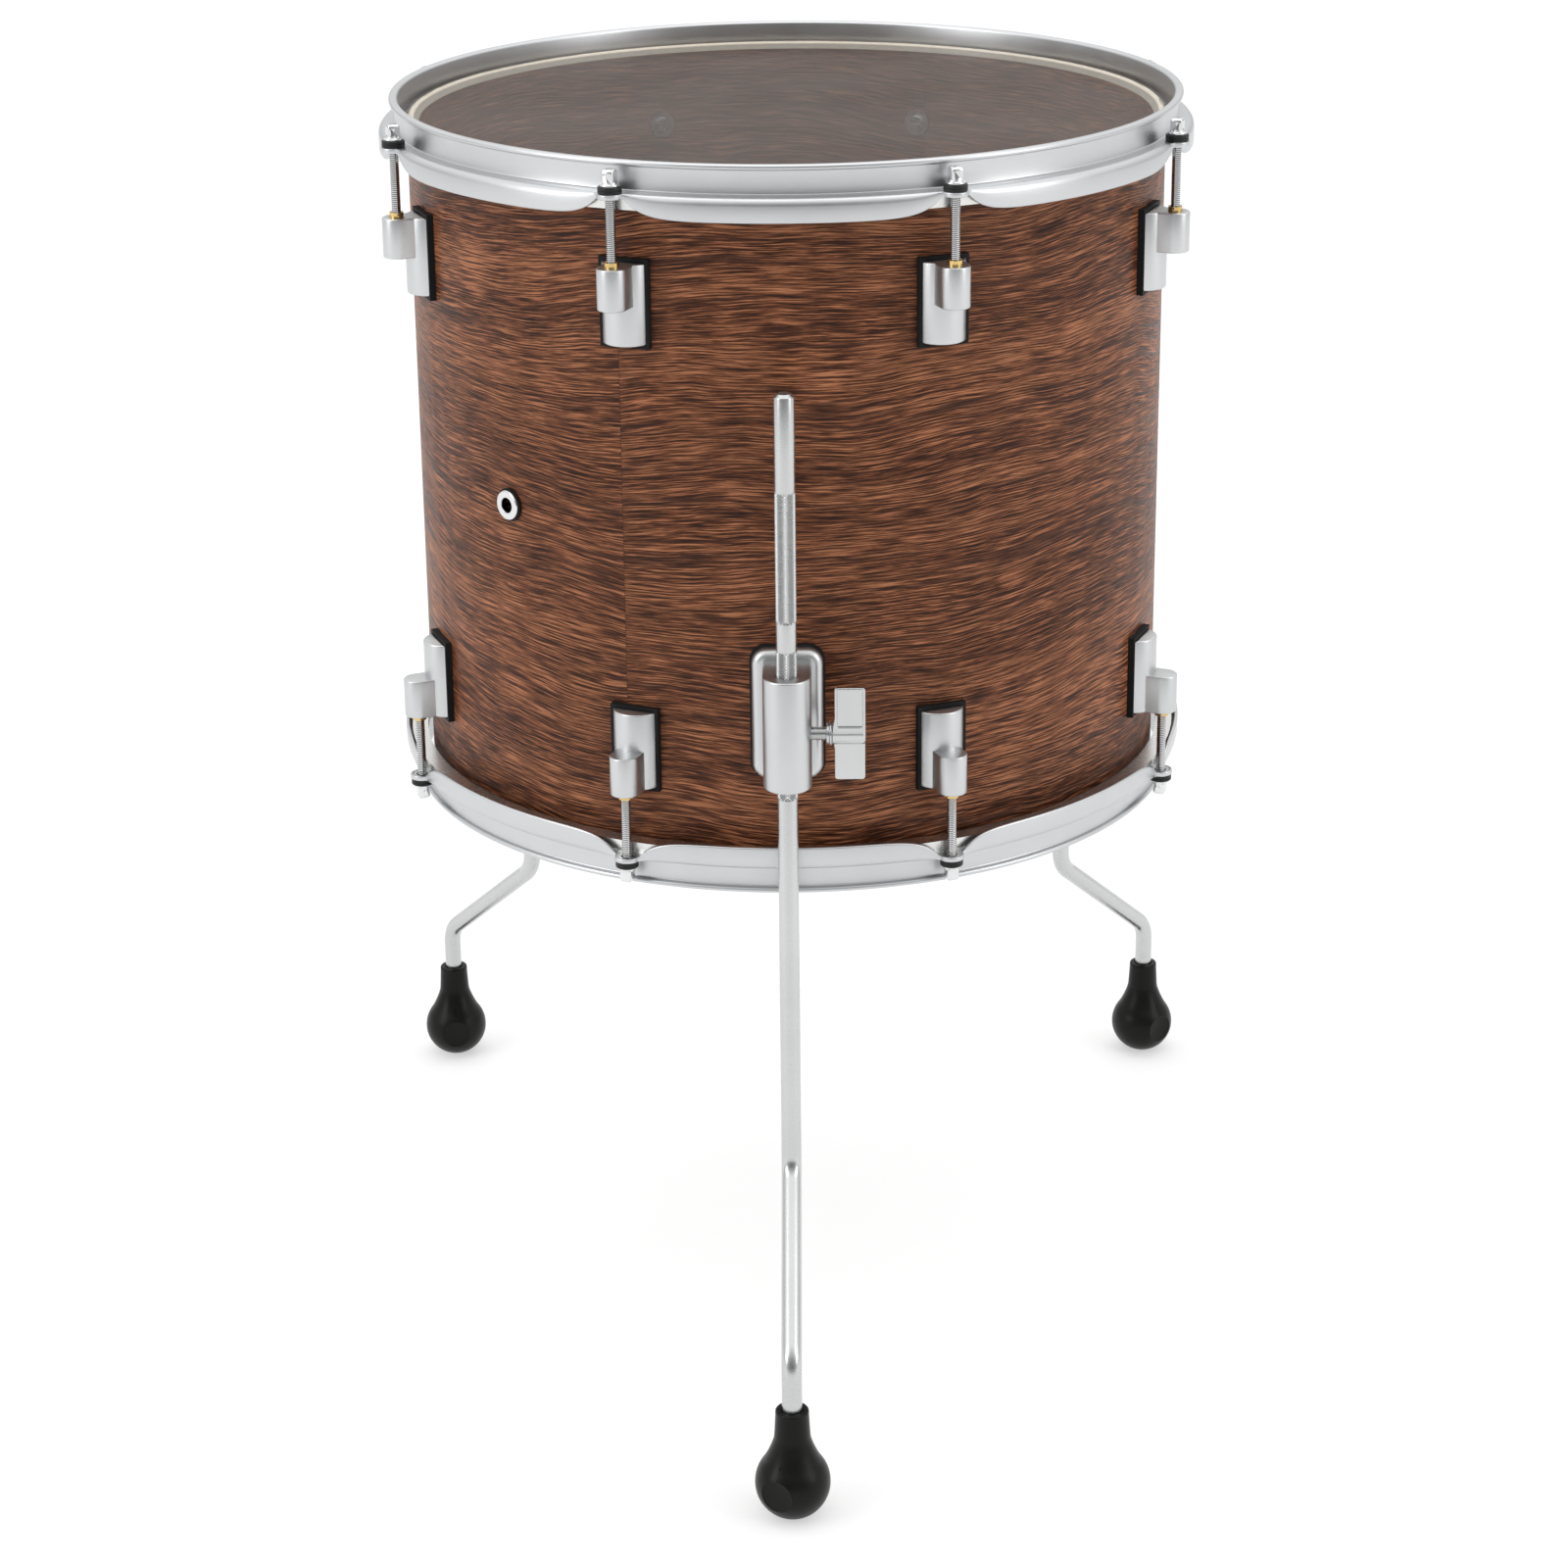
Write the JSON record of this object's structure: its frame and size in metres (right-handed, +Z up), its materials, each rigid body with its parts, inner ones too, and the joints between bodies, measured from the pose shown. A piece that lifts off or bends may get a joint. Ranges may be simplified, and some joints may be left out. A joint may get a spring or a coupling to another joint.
{
  "type": "floor tom drum",
  "caption": "Floor tom drum: walnut-veneered round shell with clear heads, steel hoops, lugs and tension rods, standing on bent legs with rubber feet.",
  "frame": {"origin": "the shell's axis where it meets the floor under the feet", "axes": "+Z up along the shell's axis, -Y towards the front leg, +X to the right as seen from the front"},
  "size_m": [0.4864, 0.5792, 0.674],
  "materials": {
    "walnut_shell": "satin oiled walnut veneer, horizontal grain",
    "clear_film": "clear polyester film",
    "flesh_hoop": "bright drawn aluminium",
    "satin_hoop": "satin plated steel",
    "black_nylon": "black nylon",
    "satin_casting": "satin plated die casting",
    "black_gasket": "moulded black rubber",
    "brass_nut": "turned brass",
    "plain_steel": "zinc plated steel",
    "vent_chrome": "polished plated steel",
    "rod_chrome": "polished chrome plate",
    "wing_casting": "satin plated casting with frosted panels",
    "leg_chrome": "bright satin plate with knurled bands",
    "leg_plug": "turned steel",
    "foot_rubber": "moulded black rubber"
  },
  "bodies": {
    "drum": {"shell": "walnut_shell", "batter_film": "clear_film", "resonant_film": "clear_film", "batter_flesh_hoop": "flesh_hoop", "resonant_flesh_hoop": "flesh_hoop", "batter_hoop": "satin_hoop", "resonant_hoop": "satin_hoop", "batter_rod_washers": "black_nylon", "resonant_rod_washers": "black_nylon", "batter_lug_casings": "satin_casting", "resonant_lug_casings": "satin_casting", "lug_gaskets": "black_gasket", "swivel_nuts": "brass_nut", "lug_screws": "plain_steel", "lug_screw_washers": "plain_steel", "vent_grommet": "vent_chrome", "vent_gasket": "black_gasket", "vent_nut": "plain_steel", "bracket_gaskets": "black_gasket", "bracket_screws": "plain_steel", "bracket_screw_washers": "plain_steel", "front_bracket": "satin_casting", "right_bracket": "satin_casting", "left_bracket": "satin_casting"},
    "front_leg_carrier": {"front_leg_plug": "leg_plug"},
    "front_leg": {"front_leg": "leg_chrome", "front_foot": "foot_rubber"},
    "front_clamp": {"front_clamp_shoe": "plain_steel"},
    "front_wing": {"front_wing_screw": "wing_casting", "front_wing_washers": "rod_chrome"},
    "right_leg_carrier": {"right_leg_plug": "leg_plug"},
    "right_leg": {"right_leg": "leg_chrome", "right_foot": "foot_rubber"},
    "right_clamp": {"right_clamp_shoe": "plain_steel"},
    "right_wing": {"right_wing_screw": "wing_casting", "right_wing_washers": "rod_chrome"},
    "left_leg_carrier": {"left_leg_plug": "leg_plug"},
    "left_leg": {"left_leg": "leg_chrome", "left_foot": "foot_rubber"},
    "left_clamp": {"left_clamp_shoe": "plain_steel"},
    "left_wing": {"left_wing_screw": "wing_casting", "left_wing_washers": "rod_chrome"},
    "batter_rod_1": {"batter_rod_1": "rod_chrome"},
    "batter_rod_2": {"batter_rod_2": "rod_chrome"},
    "batter_rod_3": {"batter_rod_3": "rod_chrome"},
    "batter_rod_4": {"batter_rod_4": "rod_chrome"},
    "batter_rod_5": {"batter_rod_5": "rod_chrome"},
    "batter_rod_6": {"batter_rod_6": "rod_chrome"},
    "batter_rod_7": {"batter_rod_7": "rod_chrome"},
    "batter_rod_8": {"batter_rod_8": "rod_chrome"},
    "resonant_rod_1": {"resonant_rod_1": "rod_chrome"},
    "resonant_rod_2": {"resonant_rod_2": "rod_chrome"},
    "resonant_rod_3": {"resonant_rod_3": "rod_chrome"},
    "resonant_rod_4": {"resonant_rod_4": "rod_chrome"},
    "resonant_rod_5": {"resonant_rod_5": "rod_chrome"},
    "resonant_rod_6": {"resonant_rod_6": "rod_chrome"},
    "resonant_rod_7": {"resonant_rod_7": "rod_chrome"},
    "resonant_rod_8": {"resonant_rod_8": "rod_chrome"}
  },
  "joints": [
    {"name": "front_leg_slide", "type": "slide", "parent": "drum", "child": "front_leg_carrier", "axis": [0, 0, 1], "range_m": [-0.12, 0.12]},
    {"name": "right_leg_slide", "type": "slide", "parent": "drum", "child": "right_leg_carrier", "axis": [0, 0, 1], "range_m": [-0.12, 0.12]},
    {"name": "left_leg_slide", "type": "slide", "parent": "drum", "child": "left_leg_carrier", "axis": [0, 0, 1], "range_m": [-0.12, 0.12]},
    {"name": "front_leg_turn", "type": "hinge", "parent": "front_leg_carrier", "child": "front_leg", "pos_m": [0, -0.2335, 0], "axis": [0, 0, 1], "continuous": true},
    {"name": "right_leg_turn", "type": "hinge", "parent": "right_leg_carrier", "child": "right_leg", "pos_m": [0.16511, 0.16511, 0], "axis": [0, 0, 1], "continuous": true},
    {"name": "left_leg_turn", "type": "hinge", "parent": "left_leg_carrier", "child": "left_leg", "pos_m": [-0.16511, 0.16511, 0], "axis": [0, 0, 1], "continuous": true},
    {"name": "front_wing_turn", "type": "hinge", "parent": "front_clamp", "child": "front_wing", "pos_m": [0, -0.2335, 0.393], "axis": [1, 0, 0], "range_deg": [0, 722]},
    {"name": "right_wing_turn", "type": "hinge", "parent": "right_clamp", "child": "right_wing", "pos_m": [0.16511, 0.16511, 0.393], "axis": [-0.7071, 0.7071, 0], "range_deg": [0, 722]},
    {"name": "left_wing_turn", "type": "hinge", "parent": "left_clamp", "child": "left_wing", "pos_m": [-0.16511, 0.16511, 0.393], "axis": [-0.7071, -0.7071, 0], "range_deg": [0, 722]},
    {"name": "front_clamp_slide", "type": "slide", "parent": "drum", "child": "front_clamp", "axis": [1, 0, 0], "range_m": [0, 0.002]},
    {"name": "right_clamp_slide", "type": "slide", "parent": "drum", "child": "right_clamp", "axis": [-0.7071, 0.7071, 0], "range_m": [0, 0.002]},
    {"name": "left_clamp_slide", "type": "slide", "parent": "drum", "child": "left_clamp", "axis": [-0.7071, -0.7071, 0], "range_m": [0, 0.002]},
    {"name": "batter_rod_1_turn", "type": "hinge", "parent": "drum", "child": "batter_rod_1", "pos_m": [0.08316, -0.20076, 0.6], "axis": [0, 0, 1], "range_deg": [-135, 765]},
    {"name": "batter_rod_2_turn", "type": "hinge", "parent": "drum", "child": "batter_rod_2", "pos_m": [0.20076, -0.08316, 0.6], "axis": [0, 0, 1], "range_deg": [-135, 765]},
    {"name": "batter_rod_3_turn", "type": "hinge", "parent": "drum", "child": "batter_rod_3", "pos_m": [0.20076, 0.08316, 0.6], "axis": [0, 0, 1], "range_deg": [-135, 765]},
    {"name": "batter_rod_4_turn", "type": "hinge", "parent": "drum", "child": "batter_rod_4", "pos_m": [0.08316, 0.20076, 0.6], "axis": [0, 0, 1], "range_deg": [-135, 765]},
    {"name": "batter_rod_5_turn", "type": "hinge", "parent": "drum", "child": "batter_rod_5", "pos_m": [-0.08316, 0.20076, 0.6], "axis": [0, 0, 1], "range_deg": [-135, 765]},
    {"name": "batter_rod_6_turn", "type": "hinge", "parent": "drum", "child": "batter_rod_6", "pos_m": [-0.20076, 0.08316, 0.6], "axis": [0, 0, 1], "range_deg": [-135, 765]},
    {"name": "batter_rod_7_turn", "type": "hinge", "parent": "drum", "child": "batter_rod_7", "pos_m": [-0.20076, -0.08316, 0.6], "axis": [0, 0, 1], "range_deg": [-135, 765]},
    {"name": "batter_rod_8_turn", "type": "hinge", "parent": "drum", "child": "batter_rod_8", "pos_m": [-0.08316, -0.20076, 0.6], "axis": [0, 0, 1], "range_deg": [-135, 765]},
    {"name": "resonant_rod_1_turn", "type": "hinge", "parent": "drum", "child": "resonant_rod_1", "pos_m": [0.08316, -0.20076, 0.37], "axis": [0, 0, -1], "range_deg": [-135, 765]},
    {"name": "resonant_rod_2_turn", "type": "hinge", "parent": "drum", "child": "resonant_rod_2", "pos_m": [0.20076, -0.08316, 0.37], "axis": [0, 0, -1], "range_deg": [-135, 765]},
    {"name": "resonant_rod_3_turn", "type": "hinge", "parent": "drum", "child": "resonant_rod_3", "pos_m": [0.20076, 0.08316, 0.37], "axis": [0, 0, -1], "range_deg": [-135, 765]},
    {"name": "resonant_rod_4_turn", "type": "hinge", "parent": "drum", "child": "resonant_rod_4", "pos_m": [0.08316, 0.20076, 0.37], "axis": [0, 0, -1], "range_deg": [-135, 765]},
    {"name": "resonant_rod_5_turn", "type": "hinge", "parent": "drum", "child": "resonant_rod_5", "pos_m": [-0.08316, 0.20076, 0.37], "axis": [0, 0, -1], "range_deg": [-135, 765]},
    {"name": "resonant_rod_6_turn", "type": "hinge", "parent": "drum", "child": "resonant_rod_6", "pos_m": [-0.20076, 0.08316, 0.37], "axis": [0, 0, -1], "range_deg": [-135, 765]},
    {"name": "resonant_rod_7_turn", "type": "hinge", "parent": "drum", "child": "resonant_rod_7", "pos_m": [-0.20076, -0.08316, 0.37], "axis": [0, 0, -1], "range_deg": [-135, 765]},
    {"name": "resonant_rod_8_turn", "type": "hinge", "parent": "drum", "child": "resonant_rod_8", "pos_m": [-0.08316, -0.20076, 0.37], "axis": [0, 0, -1], "range_deg": [-135, 765]}
  ],
  "couplings": [
    {"joint": "front_wing_turn", "follows": "front_clamp_slide", "rad_per_m": 6283.2},
    {"joint": "right_wing_turn", "follows": "right_clamp_slide", "rad_per_m": 6283.2},
    {"joint": "left_wing_turn", "follows": "left_clamp_slide", "rad_per_m": 6283.2}
  ]
}
